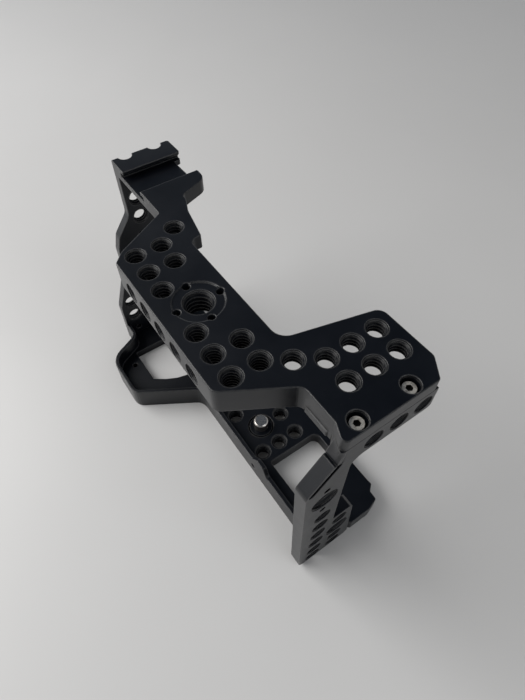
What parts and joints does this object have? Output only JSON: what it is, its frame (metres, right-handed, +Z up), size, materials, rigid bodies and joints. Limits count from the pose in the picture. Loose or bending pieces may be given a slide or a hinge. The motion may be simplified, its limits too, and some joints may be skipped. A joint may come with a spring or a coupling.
{
  "type": "camera cage",
  "caption": "Skeleton frame that bolts round a camera body, with threaded accessory holes on all sides, a cold shoe and a captive camera screw.",
  "frame": {"origin": "on the camera screw's axis at the seat face under the camera", "axes": "+X towards the side plate, +Y towards the camera's back, +Z up along the camera screw"},
  "size_m": [0.1415, 0.0629, 0.0953],
  "materials": {
    "anodised_top": "satin black anodised",
    "anodised_side": "satin black anodised",
    "anodised_base": "satin black anodised",
    "joint_steel": "worn nickel",
    "bright_steel": "turned stainless steel",
    "washer_steel": "blackened spring steel"
  },
  "bodies": {
    "frame": {"top_frame": "anodised_top", "side_plate": "anodised_side", "base_plate": "anodised_base", "top_joint_screws": "joint_steel", "side_joint_screws": "joint_steel", "arm_joint_screws": "joint_steel"},
    "washer": {"captive_washer": "washer_steel"},
    "screw": {"camera_screw": "bright_steel"}
  },
  "joints": [
    {"name": "screw_drop", "type": "slide", "parent": "frame", "child": "washer", "axis": [0, 0, 1], "range_m": [-0.00125, 0]},
    {"name": "screw_turn", "type": "hinge", "parent": "washer", "child": "screw", "pos_m": [0, 0, 0], "axis": [0, 0, 1], "continuous": true}
  ]
}
